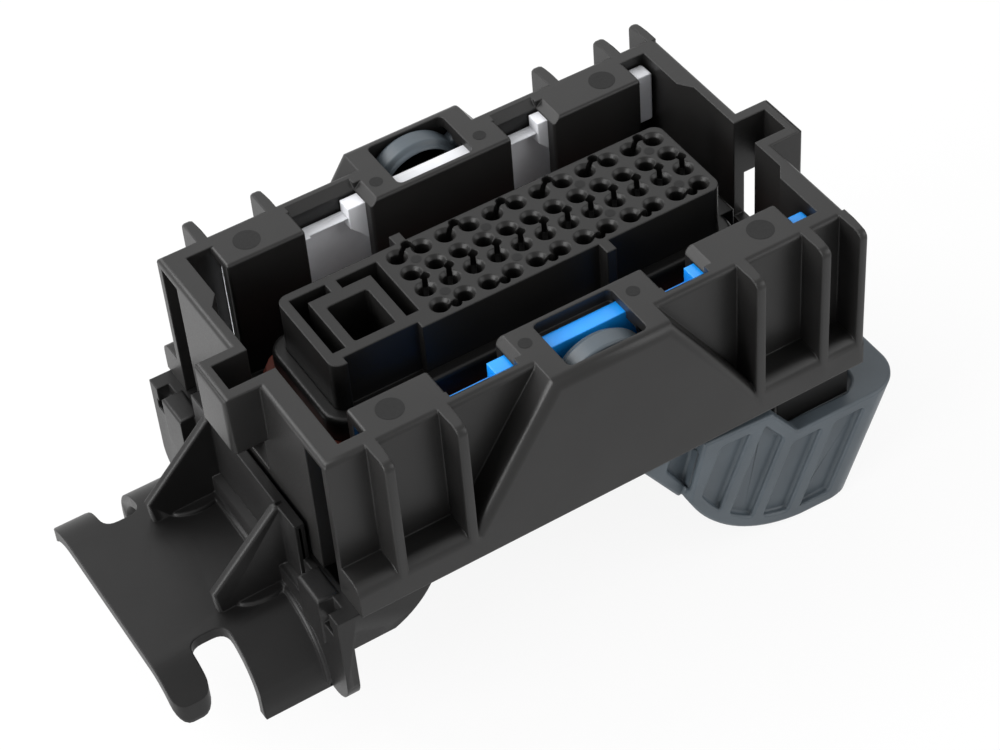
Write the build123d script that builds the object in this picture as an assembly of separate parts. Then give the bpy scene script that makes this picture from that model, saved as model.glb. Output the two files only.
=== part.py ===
"""Sealed 48-way connector with a mate-assist lever, two cam sliders and a wire cover.

X runs along the long side, away from the wire exit. Y runs across, and Z is the mating direction.
The lever is in its open position. Every profile below is drawn with Z = 0 at the lower edge of the
housing, and the finished pieces are moved together so that the origin is the middle of the base.
"""

from build123d import *
import math
import os

# Contact field
PITCH = 2.54
COLUMNS = 12
ROWS = 4
FIELD_X = 5.15
HOLE_R = 0.72
SINK_R = 1.02
SINK_DEPTH = 0.4
PROBE_R = 0.52
PROBE_SLOT = 0.5
PROBE_DEPTH = 2.0
CAVITY = 1.9
CAVITY_ROOF = 3.2

# Housing
HOUSING_L = 54.4
HOUSING_H = 16.7
WALL_Y = 15.8
WALL = 1.2
END_WALL = 2.2
FIN_Y = 18.9
FIN_T = 1.1
FIN_X = (15.5, 22.65)
END_FIN_T = 0.9
STRIP_H = 3.6
BLOCK_Y = 10.85
BLOCK_SPANS = ((-22.5, -14.35), (-6.65, 7.9), (13.4, 22.5))
BULGE_TOP = 6.2
BULGE_FOOT = 15.0
CHAMFER = 1.0
FLOOR_Z = 1.2
FLOOR_T = 1.4
BUMP_OUT = 3.55
BUMP_Y = -1.3
BUMP_W = 5.8
BUMP_Z = 10.0
BUMP_SLOT_Z = 5.0
EXIT_SLOT_Y = (11.9, 15.0)
MARK_R = 1.3
MARK_DEPTH = 0.08

# Tower and what seals it
TOWER_L = 41.3
TOWER_W = 10.8
TOWER_TOP = 15.85
TOWER_CORNER = 1.1
FLANGE_OUT = 1.6
FLANGE_T = 1.4
SKIRT_T = 1.3
MAT_T = 2.5
WIRE_HALF = 0.6
GRID_T = 1.2
GRID_RIM = 1.0
CLIP_W = 4.0
CLIP_T = 0.9
CLIP_H = 2.4
RETAINER_OUT = 1.35
RETAINER_TOP = 10.0
SEAL_OUT = 1.6
SEAL_H = 5.0
SEAL_RIBS = 3
LOCK_Z = 6.0
LOCK_T = 1.8

# Sliders
SLIDE_GAP = 0.2
SLIDER_TOP = 15.1
SLIDER_LEFT = -22.0
GROOVE_DEPTH = 1.2
TOP_BAR = 1.8
TRACK_X = (-14.5, -8.8, -6.6, -4.0)
TRACK_Z = (3.6, 10.1, 12.1)

# Lever
PIVOT_Z = 11.8
OPEN_ANGLE = 34.0
HUB_R = 4.9
STUB_R = 2.0
RUNNING_FIT = 0.05
ARM_T = 1.5
ARM_GAP = 0.15
ARM_LOW = 4.9
ARM_HIGH = 6.2
PIN_R = 1.2
PIN_THROW = 3.4
PIN_PLAY = 0.3
PIN_REACH = 1.1
HUB_STEP = 0.4
RING_R = (2.8, 4.0)
RING_DEPTH = 0.5
ARM_REACH = 20.0
HANDLE_Y = 18.7
CHEEK_T = 1.7
BAR_T = 4.4
BAR_WALL = 1.8
BAR_LEAN = 23.0
CORNER_R = 4.0
INNER_R = 2.3
HANDLE_X = 33.0
HANDLE_TOP = -5.6
HANDLE_FOOT = -17.6
HANDLE_BACK = -20.0
HEEL_Z = -15.5
HEEL_RUN = 3.3
CHEEK_FOOT = (7.5, -7.4)
CHEEK_TOP = (9.3, -0.6)
SHOULDER = ((17.0, -1.2), (19.9, -5.2))
SOLE_END = (20.4, -17.4)
BELLY = (12.6, -14.14)
GRIP_X = 10.4
GRIP_Z = -8.0
GRIP_SLANT = 0.42
GRIP_COUNT = 4
GRIP_INSET = 1.3
GRIP_PITCH = 5.05
GRIP_WIDTH = 3.4
GRIP_DEPTH = 0.7

# Wire cover
HOOD_Y = 15.6
HOOD_WALL = 1.2
HOOD_DEPTH = 12.5
HOOD_LEFT = -28.2
HOOD_RIGHT = 27.3
EXIT_Z = -5.1
EXIT_FLAT = 8.2
EXIT_R = 6.4
EXIT_END = -36.2
TONGUE_END = -43.8
TONGUE_HEAD = 3.8
TONGUE_Y = 13.2
NOTCH_Y = 8.5
GUSSET_Y = 6.6
GUSSET_T = 0.9
FLANGE_Y = 18.4
SKIRT_DEPTH = 4.1
SKIRT_END = -20.0
HOOD_RIM = 2.6
HOOD_BOTTOM_Y = 6.75
BOX_X = 19.0
BOX_Y = 16.5
BOX_DEPTH = 6.0
BOX_TAPER = 5.3
EXIT_PLATE_X = -32.6
END_X = (-28.6, -27.6)
END_Y = 10.0
END_TOP = 4.5
GUSSET_FOOT = -2.0
GUSSET_HEAD = -29.0
LATCH_X = -29.6
LATCH_Y = (11.5, 15.2)
LATCH_TOP = 2.0
FLANGE_X = -29.5
FLANGE_Z_RANGE = (-11.9, -2.7)
PLATE_R = 3.0

HALF_L = HOUSING_L / 2
INNER_Y = WALL_Y - WALL
CHANNEL_Y = BLOCK_Y + WALL
FLOOR_TOP = FLOOR_Z + FLOOR_T
POCKET_Y = FIN_Y - WALL
OPEN = math.radians(OPEN_ANGLE)
FLANGE_Z = FLOOR_Z - FLANGE_T
MAT_Z = FLANGE_Z - MAT_T
GRID_Z = MAT_Z - GRID_T
SKIRT_L = TOWER_L + 2 * FLANGE_OUT
SKIRT_W = TOWER_W + 2 * FLANGE_OUT
MAT_L = SKIRT_L - 2 * SKIRT_T
MAT_W = SKIRT_W - 2 * SKIRT_T
SLIDER_Y0 = CHANNEL_Y + SLIDE_GAP
SLIDER_Y1 = INNER_Y - SLIDE_GAP
ARM_Y0 = WALL_Y + ARM_GAP
ARM_Y1 = ARM_Y0 + ARM_T
HUB_Y0 = INNER_Y + 2 * ARM_GAP
PIN_X = PIN_THROW * math.sin(OPEN)
PIN_END = SLIDER_Y1 - PIN_REACH


def block(x0, x1, y0, y1, z0, z1):
    """Plain block between two corners."""
    return Pos((x0 + x1) / 2, (y0 + y1) / 2, (z0 + z1) / 2) * Box(x1 - x0, y1 - y0, z1 - z0)


def side_face(points):
    """Closed outline in the XZ plane."""
    return Plane.XZ * make_face(Polyline(*points, close=True))


def along_y(face, y0, y1):
    """Runs an XZ outline from y0 to y1."""
    return extrude(Pos(0, y1, 0) * face, amount=y1 - y0, dir=(0, -1, 0))


def along_x(points, x0, x1):
    """Runs a closed YZ outline from x0 to x1."""
    face = Plane.YZ * make_face(Polyline(*points, close=True))
    return extrude(Pos(x0, 0, 0) * face, amount=x1 - x0, dir=(1, 0, 0))


def slab(length, width, radius, z0, z1, x=0.0, y=0.0):
    """Rounded rectangle standing from z0 to z1."""
    return extrude(Pos(x, y, z0) * RectangleRounded(length, width, radius), amount=z1 - z0)


def post_y(radius, x, z, y0, y1):
    """Round post along Y."""
    return Pos(x, (y0 + y1) / 2, z) * Rot(90, 0, 0) * Cylinder(radius, abs(y1 - y0))


def both_sides(solid):
    """A piece and its mirror image across the middle plane."""
    return solid + mirror(solid, about=Plane.XZ)


def hole_places():
    """Centres of the contact holes, row by row from the back."""
    places = []
    for row in range(ROWS):
        for column in range(COLUMNS):
            x = FIELD_X + (column - (COLUMNS - 1) / 2) * PITCH
            y = ((ROWS - 1) / 2 - row) * PITCH
            places.append((row, column, x, y))
    return places


def bulge_outline(shrink, z0, z1):
    """The trapezium over the lever's hub, drawn in by shrink on its slanted sides."""
    slope = (BULGE_FOOT - BULGE_TOP) / (HOUSING_H - STRIP_H)
    inset = shrink * math.hypot(1, slope)
    low = BULGE_TOP + (HOUSING_H - z0) * slope - inset
    high = BULGE_TOP + (HOUSING_H - z1) * slope - inset
    return ((-low, z0), (low, z0), (high, z1), (-high, z1))


def housing_shell():
    """End walls, long walls and the inner floor with the tower's opening."""
    shell = block(-HALF_L, HALF_L, -WALL_Y, WALL_Y, 0, HOUSING_H)
    inner = HALF_L - END_WALL
    shell -= block(-inner, inner, -INNER_Y, INNER_Y, FLOOR_TOP, HOUSING_H)
    shell -= block(-inner, inner, -INNER_Y, INNER_Y, 0, FLOOR_Z)
    middle = ((-8.4, inner), (-7.0, HALF_L - WALL), (7.0, HALF_L - WALL), (8.4, inner))
    relief = Plane.XY * make_face(Polyline(*[(x, y) for y, x in middle], close=True))
    relief = extrude(Pos(0, 0, FLOOR_TOP) * relief, amount=HOUSING_H)
    shell -= relief + mirror(relief, about=Plane.YZ)
    opening_l = TOWER_L + 2 * SLIDE_GAP
    opening_w = TOWER_W + 2 * SLIDE_GAP
    shell -= slab(opening_l, opening_w, TOWER_CORNER, 0, FLOOR_TOP)
    return shell


def housing_blocks():
    """Hollow blocks on one long wall that roof over the slider."""
    blocks = None
    for left, right in BLOCK_SPANS:
        piece = block(left, right, BLOCK_Y, INNER_Y, FLOOR_TOP, HOUSING_H)
        piece -= block(left, right, CHANNEL_Y, INNER_Y, FLOOR_TOP, HOUSING_H - WALL)
        blocks = piece if blocks is None else blocks + piece
    return blocks


def housing_side():
    """Fins, bottom strip and bulge on one outer long face."""
    side = block(-HALF_L, HALF_L, WALL_Y, FIN_Y, 0, STRIP_H)
    side = fillet(side.edges().filter_by(Axis.X).group_by(Axis.Z)[-1].sort_by(Axis.Y)[-1], 0.8)
    for x in FIN_X:
        for sign in (-1, 1):
            side += block(sign * x - FIN_T / 2, sign * x + FIN_T / 2, WALL_Y, FIN_Y, 0, HOUSING_H)
    side += block(HALF_L - END_FIN_T, HALF_L, WALL_Y, FIN_Y, 0, HOUSING_H)
    side += along_y(side_face(bulge_outline(0, 0, HOUSING_H)), WALL_Y, FIN_Y)
    side -= block(-HALF_L, HALF_L, WALL_Y, FIN_Y, -HOUSING_H, 0)
    outer = FIN_X[0] + FIN_T / 2 + 2 * WALL
    for sign in (-1, 1):
        ends = sorted((sign * outer, sign * (HALF_L - WALL)))
        side -= block(ends[0], ends[1], WALL_Y, POCKET_Y, 0, STRIP_H - WALL)
    side -= along_y(side_face(bulge_outline(WALL, 0, HOUSING_H - WALL)), WALL_Y, POCKET_Y)
    return side


def housing_window():
    """Opening over the lever's hub, through the middle block's roof into the bulge."""
    half = 3.9
    middle = (BLOCK_SPANS[1][0] + BLOCK_SPANS[1][1]) / 2 - 0.4
    opening = block(middle - half, middle + half, CHANNEL_Y, POCKET_Y, HOUSING_H - 2 * WALL, HOUSING_H)
    opening += post_y(HUB_R + 2 * ARM_GAP, 0, PIVOT_Z, INNER_Y, WALL_Y)
    opening += block(middle - half, middle + half, INNER_Y, WALL_Y, PIVOT_Z, HOUSING_H)
    return opening


def housing_bump():
    """Outward key at the right end, with the slot behind it."""
    y0 = BUMP_Y - BUMP_W / 2
    y1 = BUMP_Y + BUMP_W / 2
    bump = block(HALF_L - WALL, HALF_L + BUMP_OUT, y0, y1, BUMP_Z, HOUSING_H)
    reach = HALF_L + BUMP_OUT - WALL
    slot = block(HALF_L - 2 * END_WALL, reach, y0 + WALL, y1 - WALL, BUMP_SLOT_Z, HOUSING_H)
    return bump, slot


def make_outer_housing():
    """Outer housing with its blocks, fins, bulges, windows and end keys."""
    body = housing_shell()
    body += both_sides(housing_blocks() + housing_side())
    bump, slot = housing_bump()
    body += bump + mirror(bump, about=Plane.YZ)
    body -= slot + mirror(slot, about=Plane.YZ)
    body -= both_sides(housing_window())
    exits = block(-HALF_L, -HALF_L + END_WALL, EXIT_SLOT_Y[0], EXIT_SLOT_Y[1], 0, HOUSING_H - 1.4)
    body -= both_sides(exits)
    bevel_y = INNER_Y + 0.01
    for left, right in ((BLOCK_SPANS[0][1], BLOCK_SPANS[1][0]), (BLOCK_SPANS[1][1], BLOCK_SPANS[2][0])):
        bevel = ((INNER_Y, HOUSING_H), (INNER_Y + CHAMFER, HOUSING_H), (INNER_Y, HOUSING_H - CHAMFER))
        body -= both_sides(along_x(bevel, left, right))
        lead = ((right, HOUSING_H), (right + CHAMFER, HOUSING_H), (right, HOUSING_H - CHAMFER))
        body -= both_sides(along_y(side_face(lead), BLOCK_Y, bevel_y))
    for x, radius in ((-19.3, MARK_R), (19.45, MARK_R), (-5.5, MARK_R / 2), (5.85, MARK_R / 2)):
        disc = Pos(x, (BLOCK_Y + INNER_Y) / 2 + 0.5, HOUSING_H) * Cylinder(radius, 2 * MARK_DEPTH)
        body -= both_sides(disc)
    stub = post_y(STUB_R, 0, PIVOT_Z, INNER_Y + 2 * SLIDE_GAP, POCKET_Y)
    return body + both_sides(stub)


def tower_outside():
    """Tower body, its flange under the housing floor and its rear skirt."""
    tower = slab(TOWER_L, TOWER_W, TOWER_CORNER, FLOOR_Z - FLANGE_T, TOWER_TOP)
    wide_l = TOWER_L + 2 * FLANGE_OUT
    wide_w = TOWER_W + 2 * FLANGE_OUT
    tower += slab(wide_l, wide_w, TOWER_CORNER, FLOOR_Z - FLANGE_T - MAT_T - GRID_T, FLOOR_Z)
    inner_l = wide_l - 2 * SKIRT_T
    inner_w = wide_w - 2 * SKIRT_T
    tower -= slab(inner_l, inner_w, TOWER_CORNER, -HOUSING_H, FLOOR_Z - FLANGE_T)
    return tower


def contact_holes():
    """Entry holes with countersinks, the cavities behind them and the probe keyholes."""
    roof = TOWER_TOP - CAVITY_ROOF
    tool = None
    for row, column, x, y in hole_places():
        sink = Pos(x, y, TOWER_TOP - SINK_DEPTH / 2) * Cone(HOLE_R, SINK_R, SINK_DEPTH)
        entry = Pos(x, y, (TOWER_TOP + roof) / 2 - 0.1) * Cylinder(HOLE_R, TOWER_TOP - roof)
        half = CAVITY / 2
        room = block(x - half, x + half, y - half, y + half, FLOOR_Z - FLANGE_T, roof)
        cell = [sink, entry, room]
        tool = cell if tool is None else tool + cell
    return tool


def probe_keyholes():
    """Small probe holes, each joined to the two contact holes beside it by a narrow slot."""
    tool = []
    z0 = TOWER_TOP - PROBE_DEPTH
    place = {(row, column): (x, y) for row, column, x, y in hole_places()}
    pairs = []
    for column in range(0, COLUMNS - 1, 2):
        pairs.append(((0, column), (0, column + 1), 0.6, 0.4))
        pairs.append(((3, column), (3, column + 1), 0.53, -0.24))
    for column in range(COLUMNS):
        pairs.append(((1, column), (2, column), 0.3, -0.38))
    for first, second, dx, dy in pairs:
        x, y = place[first]
        px = x + dx * PITCH
        py = y + dy * PITCH
        tool.append(extrude(Pos(px, py, z0) * Circle(PROBE_R), amount=PROBE_DEPTH))
        for hx, hy in (place[first], place[second]):
            run = math.hypot(hx - px, hy - py)
            turn = math.degrees(math.atan2(hy - py, hx - px))
            bar = Pos(px, py, z0) * Rot(0, 0, turn) * Pos(run / 2, 0, PROBE_DEPTH / 2)
            tool.append(bar * Box(run, PROBE_SLOT, PROBE_DEPTH))
    return tool


def tower_pockets():
    """Square keying cavity and the two core-outs that wrap round it."""
    square = slab(4.2, 5.2, 0.3, TOWER_TOP - 9.0, TOWER_TOP + 1, -15.25, -0.8)
    throat = slab(4.2, 1.5, 0.3, TOWER_TOP - 2.2, TOWER_TOP + 1, -15.25, 1.05)
    first = block(-19.7, -18.4, -3.6, 4.5, TOWER_TOP - 6, TOWER_TOP)
    first += block(-19.7, -16.0, 3.3, 4.5, TOWER_TOP - 6, TOWER_TOP)
    second = block(-14.9, -10.9, 3.2, 4.4, TOWER_TOP - 6, TOWER_TOP)
    second += block(-12.0, -10.7, -3.3, 4.4, TOWER_TOP - 6, TOWER_TOP)
    return square + throat + first + second


def make_terminal_tower():
    """Terminal tower with 48 contact cavities, keys and core-outs."""
    tower = tower_outside()
    half = TOWER_W / 2
    tower -= block(-19.2, -11.6, -half, -half + 0.85, RETAINER_TOP, TOWER_TOP)
    tower += block(7.0, 8.0, -half - 1.4, -half, RETAINER_TOP, TOWER_TOP)
    tower += block(-8.1, -7.0, half, half + 1.2, RETAINER_TOP, TOWER_TOP)
    tower -= contact_holes()
    tower -= probe_keyholes()
    tower -= tower_pockets()
    return tower - lock_blank(SLIDE_GAP / 2)


def lock_blank(grow):
    """Outline of the secondary lock, drawn out by grow for its slot in the tower."""
    x0 = FIELD_X - COLUMNS * PITCH / 2 - grow
    x1 = FIELD_X + COLUMNS * PITCH / 2 + grow
    y1 = TOWER_W / 2 - WALL + grow
    return block(x0, x1, -TOWER_W / 2 - grow, y1, LOCK_Z - grow, LOCK_Z + LOCK_T + grow)


def make_secondary_lock():
    """Terminal position lock: a plate through the tower with a window for each cavity."""
    lock = lock_blank(0) & slab(TOWER_L, TOWER_W, TOWER_CORNER, LOCK_Z, LOCK_Z + LOCK_T)
    half = CAVITY / 2
    for row, column, x, y in hole_places():
        lock -= block(x - half, x + half, y - half, y + half, LOCK_Z, LOCK_Z + LOCK_T)
    return lock


def make_seal_retainer():
    """Collar round the tower that holds the ring seal down."""
    out = 2 * RETAINER_OUT
    collar = slab(TOWER_L + out, TOWER_W + out, TOWER_CORNER + RETAINER_OUT, FLOOR_TOP, RETAINER_TOP)
    collar = fillet(collar.edges().group_by(Axis.Z)[-1], RETAINER_OUT / 3)
    reach = TOWER_L / 2 + RETAINER_OUT + SEAL_OUT
    collar += block(TOWER_L / 2, reach, -3.6, 3.6, FLOOR_TOP + SEAL_H + 0.4, RETAINER_TOP)
    return collar - slab(TOWER_L, TOWER_W, TOWER_CORNER, 0, TOWER_TOP)


def make_ring_seal():
    """Silicone ring with sealing lips, round the collar."""
    inner_l = TOWER_L + 2 * RETAINER_OUT
    inner_w = TOWER_W + 2 * RETAINER_OUT
    inner_r = TOWER_CORNER + RETAINER_OUT
    lip = 0.4
    body = SEAL_OUT - lip
    ring = slab(inner_l + 2 * body, inner_w + 2 * body, inner_r + body, FLOOR_TOP, FLOOR_TOP + SEAL_H)
    step = SEAL_H / SEAL_RIBS
    full = 2 * SEAL_OUT
    for number in range(SEAL_RIBS):
        z0 = FLOOR_TOP + (number + 0.25) * step
        ring += slab(inner_l + full, inner_w + full, inner_r + SEAL_OUT, z0, z0 + step / 2)
    return ring - slab(inner_l, inner_w, inner_r, 0, HOUSING_H)


def make_mat_seal():
    """Soft mat in the tower's skirt that seals round each wire."""
    mat = slab(MAT_L, MAT_W, TOWER_CORNER, MAT_Z, FLANGE_Z)
    for row, column, x, y in hole_places():
        mat -= block(x - WIRE_HALF, x + WIRE_HALF, y - WIRE_HALF, y + WIRE_HALF, MAT_Z, FLANGE_Z)
    return mat


def make_mat_seal_cover():
    """Grid that presses the mat seal up and clips over the tower's skirt."""
    cover = slab(MAT_L, MAT_W, TOWER_CORNER, GRID_Z, MAT_Z)
    cover += slab(SKIRT_L, SKIRT_W, TOWER_CORNER, GRID_Z - GRID_RIM, GRID_Z)
    half = SKIRT_W / 2
    for x in (-SKIRT_L / 4, SKIRT_L / 4):
        clip = block(x - CLIP_W / 2, x + CLIP_W / 2, half, half + CLIP_T, GRID_Z - GRID_RIM, GRID_Z + CLIP_H)
        foot = block(x - CLIP_W / 2, x + CLIP_W / 2, half - CLIP_T, half, GRID_Z - GRID_RIM, GRID_Z)
        cover += both_sides(clip + foot)
    side = CAVITY / 2
    for row, column, x, y in hole_places():
        cover -= block(x - side, x + side, y - side, y + side, GRID_Z - GRID_RIM, MAT_Z)
    return cover


def slider_track(shift):
    """Slanted cam track in one gap between the blocks, cut into the slider's inner face."""
    left, right, post, low = TRACK_X
    outline = [
        (left, TRACK_Z[0]),
        (left, SLIDER_TOP - TOP_BAR),
        (right, SLIDER_TOP - TOP_BAR),
        (right, TRACK_Z[2]),
        (post, TRACK_Z[1]),
        (low, TRACK_Z[1] - (low - post)),
        (low, TRACK_Z[0]),
    ]
    face = side_face([(x + shift, z) for x, z in outline])
    return along_y(face, SLIDER_Y0, SLIDER_Y0 + GROOVE_DEPTH)


def make_slider():
    """Cam slider on the +Y side, with its cam tracks and the slot for the lever's pin."""
    right = HALF_L - END_WALL - SLIDE_GAP
    slider = block(SLIDER_LEFT, right, SLIDER_Y0, SLIDER_Y1, FLOOR_TOP + SLIDE_GAP, SLIDER_TOP)
    slider = chamfer(slider.edges().filter_by(Axis.Y).group_by(Axis.X)[0], 2 * SLIDE_GAP)
    slider -= slider_track(0)
    slider -= slider_track(BLOCK_SPANS[1][1] - BLOCK_SPANS[0][1])
    reach = PIN_R + PIN_PLAY
    low = PIVOT_Z - PIN_THROW - reach
    high = PIVOT_Z - PIN_THROW * math.cos(OPEN) + reach
    return slider - block(PIN_X - reach, PIN_X + reach, PIN_END - SLIDE_GAP, SLIDER_Y1, low, high)


def leaning(face, z0, z1):
    """Runs an XY outline, drawn at the handle's top, from z0 down to z1 along the crossbar's lean."""
    lean = math.radians(BAR_LEAN)
    start = Pos(-(HANDLE_TOP - z0) * math.tan(lean), 0, z0) * face
    return extrude(start, amount=(z0 - z1) / math.cos(lean), dir=(-math.tan(lean), 0, -1))


def handle_face():
    """Side view of the handle: cheek, shoulder, leaning crossbar and rounded heel."""
    lean = math.radians(BAR_LEAN)
    toe = (HANDLE_X - (HANDLE_TOP - HEEL_Z) * math.tan(lean), HEEL_Z)
    sole = (toe[0] - HEEL_RUN, HANDLE_FOOT)
    upper = Polyline(CHEEK_FOOT, CHEEK_TOP, *SHOULDER, (HANDLE_X, HANDLE_TOP), toe)
    heel = TangentArc(toe, sole, tangent=(-math.tan(lean), -1))
    flat = Line(sole, SOLE_END)
    belly = ThreePointArc(SOLE_END, BELLY, CHEEK_FOOT)
    return make_face([upper, heel, flat, belly])


def handle_plan(reach, half, radius):
    """Plan of what the handle wraps round, out to reach, with rounded corners."""
    span = reach - HANDLE_BACK
    return Pos(HANDLE_BACK + span / 2, 0, 0) * RectangleRounded(span, 2 * half, radius)


def handle_corner(side):
    """What the rounding takes off one upright corner of the handle."""
    x = HANDLE_X - CORNER_R
    y = side * (HANDLE_Y - CORNER_R)
    square = Pos(x + CORNER_R, y + side * CORNER_R, 0) * Rectangle(2 * CORNER_R, 2 * CORNER_R)
    return square - Pos(x, y, 0) * Circle(CORNER_R)


def handle_grips():
    """Slanted finger pockets in both cheeks and upright ones across the crossbar."""
    inset = offset(handle_face(), amount=-GRIP_INSET, kind=Kind.INTERSECTION)
    field = along_y(Plane.XZ * inset, HANDLE_Y - GRIP_DEPTH, HANDLE_Y)
    cheek = []
    for number in range(GRIP_COUNT):
        x = GRIP_X + number * GRIP_PITCH
        ends = []
        for z in (0, HANDLE_FOOT):
            middle = x + (z - GRIP_Z) * GRIP_SLANT
            ends.append(((middle - GRIP_WIDTH / 2, z), (middle + GRIP_WIDTH / 2, z)))
        band = side_face((ends[0][0], ends[0][1], ends[1][1], ends[1][0]))
        cheek.append(along_y(band, HANDLE_Y - GRIP_DEPTH, HANDLE_Y) & field)
    pockets = [part for band in cheek for part in (band, mirror(band, about=Plane.XZ))]
    across = int((HANDLE_Y - CORNER_R - GRIP_WIDTH / 2) / GRIP_PITCH)
    for number in range(-across, across + 1):
        bar = Pos(HANDLE_X, number * GRIP_PITCH, 0) * Rectangle(2 * GRIP_DEPTH, GRIP_WIDTH)
        pockets.append(leaning(bar, HANDLE_TOP - GRIP_INSET, HEEL_Z))
    return pockets


def make_handle():
    """Crossbar and cheeks, open on the side towards the pivot."""
    handle = along_y(Plane.XZ * handle_face(), -HANDLE_Y, HANDLE_Y)
    inner = HANDLE_Y - CHEEK_T
    handle -= leaning(handle_plan(HANDLE_X - BAR_T, inner, INNER_R), HANDLE_TOP + HOUSING_H, 2 * HANDLE_FOOT)
    under = handle_plan(HANDLE_X - BAR_WALL, inner, INNER_R)
    handle -= leaning(under, HANDLE_TOP - BAR_WALL, HANDLE_FOOT + BAR_WALL)
    for side in (-1, 1):
        handle -= leaning(handle_corner(side), HANDLE_TOP + 1, HANDLE_FOOT - 1)
    return handle - handle_grips()


def make_arm():
    """Thin arm on the +Y side with its hub, bore and drive pin."""
    sin, cos = math.sin(OPEN), math.cos(OPEN)
    corners = []
    for run, across in ((0, -ARM_LOW), (ARM_REACH, -ARM_LOW), (ARM_REACH, ARM_HIGH), (0, ARM_HIGH)):
        corners.append((run * sin + across * cos, PIVOT_Z - run * cos + across * sin))
    arm = along_y(side_face(corners), ARM_Y0, ARM_Y1)
    step = (HUB_Y0 + ARM_Y0) / 2
    arm += post_y(HUB_R, 0, PIVOT_Z, step, ARM_Y1)
    arm += post_y(HUB_R - HUB_STEP, 0, PIVOT_Z, HUB_Y0, step)
    groove = post_y(RING_R[1], 0, PIVOT_Z, HUB_Y0, HUB_Y0 + RING_DEPTH)
    arm -= groove - post_y(RING_R[0], 0, PIVOT_Z, HUB_Y0, HUB_Y0 + RING_DEPTH)
    arm += post_y(PIN_R, PIN_X, PIVOT_Z - PIN_THROW * math.cos(OPEN), PIN_END, HUB_Y0 + RING_DEPTH)
    return arm - post_y(STUB_R + RUNNING_FIT, 0, PIVOT_Z, HUB_Y0, ARM_Y1)


def make_lever():
    """Mate-assist lever: two arms on the housing's stubs, joined by the handle."""
    return make_handle() + both_sides(make_arm())


def hood_profile(top):
    """YZ outline of the hood with its upper edge at top."""
    low = HOOD_BOTTOM_Y
    points = ((-HOOD_Y, top), (-HOOD_Y, -HOOD_RIM), (-low, -HOOD_DEPTH), (low, -HOOD_DEPTH))
    return make_face(Polyline(*points, (HOOD_Y, -HOOD_RIM), (HOOD_Y, top), close=True))


def hood_inside(x0, x1):
    """Hollow of the hood between two cross sections."""
    inner = offset(hood_profile(HOUSING_H), amount=-HOOD_WALL, kind=Kind.INTERSECTION)
    return extrude(Pos(x0, 0, 0) * (Plane.YZ * inner), amount=x1 - x0, dir=(1, 0, 0))


def hood_wedge(shift):
    """What is taken off the hood's lower right corner, so that the crossbar swings past it."""
    points = ((HOOD_RIGHT, -BOX_DEPTH), (HOOD_RIGHT * 2, -BOX_DEPTH), (HOOD_RIGHT * 2, -HOOD_DEPTH * 2))
    run = BOX_TAPER * (HOOD_DEPTH * 2 - BOX_DEPTH) / (HOOD_DEPTH - BOX_DEPTH)
    low_x = HOOD_RIGHT - run
    outline = [(x - shift, z) for x, z in (*points, (low_x, -HOOD_DEPTH * 2))]
    return along_y(side_face(outline), -HOOD_Y * 2, HOOD_Y * 2)


def make_hood():
    """Tapered hood under the housing, open at the top, with the wider box at its right end."""
    outline = Pos(HOOD_LEFT, 0, 0) * (Plane.YZ * hood_profile(0))
    hood = extrude(outline, amount=HOOD_RIGHT - HOOD_LEFT, dir=(1, 0, 0))
    hood += block(BOX_X, HOOD_RIGHT, -BOX_Y, BOX_Y, -BOX_DEPTH, 0)
    hood -= hood_wedge(0)
    room = hood_inside(HOOD_LEFT + HOOD_WALL, HOOD_RIGHT - HOOD_WALL)
    half = BOX_Y - HOOD_WALL
    room += block(BOX_X + HOOD_WALL, HOOD_RIGHT - HOOD_WALL, -half, half, -BOX_DEPTH + HOOD_WALL, HOUSING_H)
    room -= hood_wedge(HOOD_WALL * math.hypot(1, BOX_TAPER / (HOOD_DEPTH - BOX_DEPTH)))
    return hood - room


def exit_section(inset):
    """YZ outline of the wire exit's arch, drawn in by inset."""
    half = EXIT_FLAT + EXIT_R - inset
    height = 4 * HOOD_DEPTH
    middle = EXIT_Z - inset - height / 2
    return Plane.YZ * Pos(0, middle, 0) * RectangleRounded(2 * half, height, EXIT_R - inset)


def make_wire_exit():
    """Arched wire exit that runs out into the tongue for a cable tie."""
    run = HOOD_LEFT - TONGUE_END
    arch = extrude(Pos(TONGUE_END, 0, 0) * exit_section(0), amount=run)
    arch -= extrude(Pos(TONGUE_END, 0, 0) * exit_section(HOOD_WALL), amount=run)
    half = EXIT_FLAT + EXIT_R
    arch &= block(TONGUE_END, HOOD_LEFT, -half, half, -HOOD_DEPTH, EXIT_Z)
    neck = block(TONGUE_END + 1, HOOD_LEFT, -NOTCH_Y, NOTCH_Y, -HOOD_DEPTH, EXIT_Z)
    head_x = TONGUE_END + TONGUE_HEAD / 2
    head = slab(TONGUE_HEAD, 2 * TONGUE_Y, 1.0, -HOOD_DEPTH, EXIT_Z, head_x)
    plan = block(EXIT_END, HOOD_LEFT, -half, half, -HOOD_DEPTH, EXIT_Z) + neck + head
    inner = half - HOOD_WALL
    plate = block(EXIT_PLATE_X, HOOD_LEFT, -inner, inner, -HOOD_DEPTH, -HOOD_DEPTH + HOOD_WALL)
    return (arch & plan) + plate


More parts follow.
